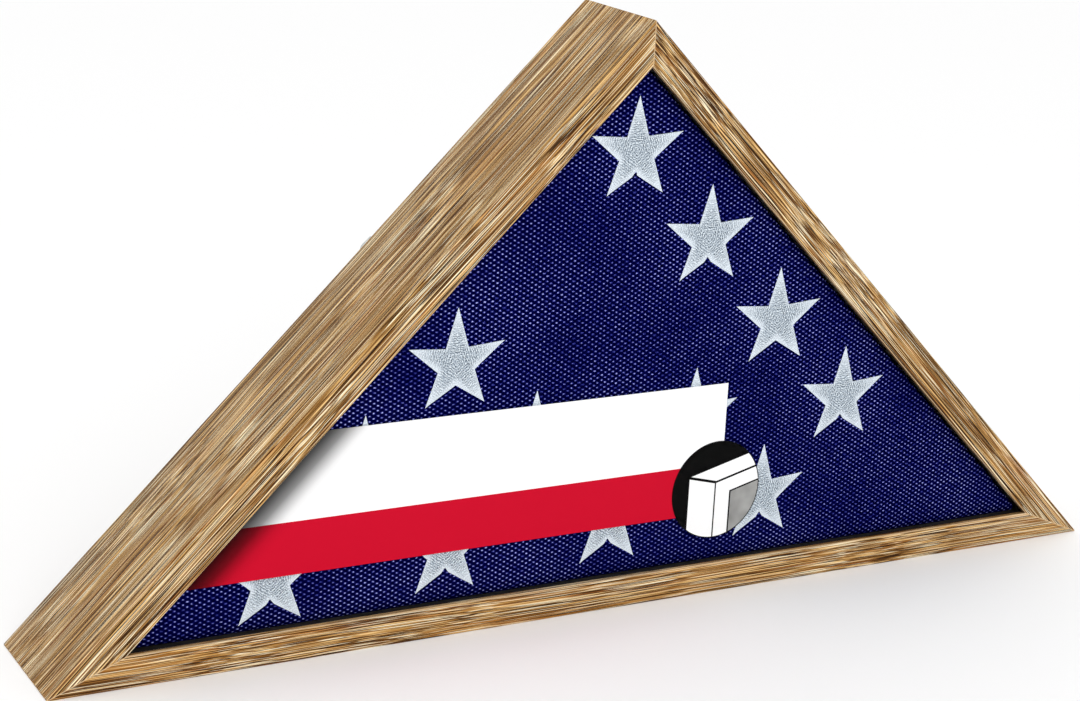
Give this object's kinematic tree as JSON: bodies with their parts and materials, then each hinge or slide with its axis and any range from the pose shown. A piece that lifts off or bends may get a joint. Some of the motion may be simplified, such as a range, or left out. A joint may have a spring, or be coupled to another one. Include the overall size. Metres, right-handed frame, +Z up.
{
  "type": "folded flag display case",
  "caption": "Triangular wooden display case with a clear front, holding a folded flag behind a removable back, to stand on a shelf or hang on a wall.",
  "frame": {"origin": "middle of the bottom face, at half the case's depth", "axes": "+X along the base, to the right seen from the front; +Y to the back; +Z up; the pane faces -Y"},
  "size_m": [0.6584, 0.0805, 0.33],
  "materials": {
    "rail_wood": "oak grain, satin",
    "liner_wood": "black-stained softwood",
    "hardboard": "smooth brown hardboard",
    "pane": "clear",
    "lining": "black felt",
    "flag": "navy twill with embroidered stars",
    "print": "gloss printed card",
    "print_dark": "gloss printed card",
    "zinc_steel": "zinc plated",
    "bumper_rubber": "matt"
  },
  "bodies": {
    "case": {"left_rail": "rail_wood", "right_rail": "rail_wood", "base_rail": "rail_wood", "v_nails": "zinc_steel", "front_glass": "pane", "left_liner": "liner_wood", "right_liner": "liner_wood", "base_liner": "liner_wood", "folded_flag": "flag", "print_band": "print", "print_disc": "print_dark", "button_screws": "zinc_steel", "left_hanger_strap": "zinc_steel", "right_hanger_strap": "zinc_steel", "hanger_screws": "zinc_steel", "left_bumper": "bumper_rubber", "right_bumper": "bumper_rubber"},
    "back": {"back_panel": "hardboard", "panel_lining": "lining"},
    "button_left_low": {"button_left_low": "zinc_steel"},
    "button_left_high": {"button_left_high": "zinc_steel"},
    "button_right_low": {"button_right_low": "zinc_steel"},
    "button_right_high": {"button_right_high": "zinc_steel"},
    "button_base_left": {"button_base_left": "zinc_steel"},
    "button_base_right": {"button_base_right": "zinc_steel"},
    "left_ring": {"left_hanger_ring": "zinc_steel"},
    "right_ring": {"right_hanger_ring": "zinc_steel"}
  },
  "joints": [
    {"name": "back_panel_lift_out", "type": "slide", "parent": "case", "child": "back", "axis": [0, 1, 0], "range_m": [0, 0.06]},
    {"name": "button_left_low_turn", "type": "hinge", "parent": "case", "child": "button_left_low", "pos_m": [-0.233, 0.0381, 0.0878], "axis": [0, -1, 0], "range_deg": [0, 180]},
    {"name": "button_left_high_turn", "type": "hinge", "parent": "case", "child": "button_left_high", "pos_m": [-0.0614, 0.0381, 0.2594], "axis": [0, -1, 0], "range_deg": [0, 180]},
    {"name": "button_right_low_turn", "type": "hinge", "parent": "case", "child": "button_right_low", "pos_m": [0.233, 0.0381, 0.0878], "axis": [0, 1, 0], "range_deg": [0, 180]},
    {"name": "button_right_high_turn", "type": "hinge", "parent": "case", "child": "button_right_high", "pos_m": [0.0614, 0.0381, 0.2594], "axis": [0, 1, 0], "range_deg": [0, 180]},
    {"name": "button_base_left_turn", "type": "hinge", "parent": "case", "child": "button_base_left", "pos_m": [-0.1485, 0.0381, 0.0065], "axis": [0, -1, 0], "range_deg": [0, 180]},
    {"name": "button_base_right_turn", "type": "hinge", "parent": "case", "child": "button_base_right", "pos_m": [0.1485, 0.0381, 0.0065], "axis": [0, 1, 0], "range_deg": [0, 180]},
    {"name": "left_ring_swing", "type": "hinge", "parent": "case", "child": "left_ring", "pos_m": [-0.1208, 0.03976, 0.2], "axis": [0.7071, 0, -0.7071], "range_deg": [0, 170]},
    {"name": "right_ring_swing", "type": "hinge", "parent": "case", "child": "right_ring", "pos_m": [0.1208, 0.03976, 0.2], "axis": [0.7071, 0, 0.7071], "range_deg": [0, 170]}
  ]
}
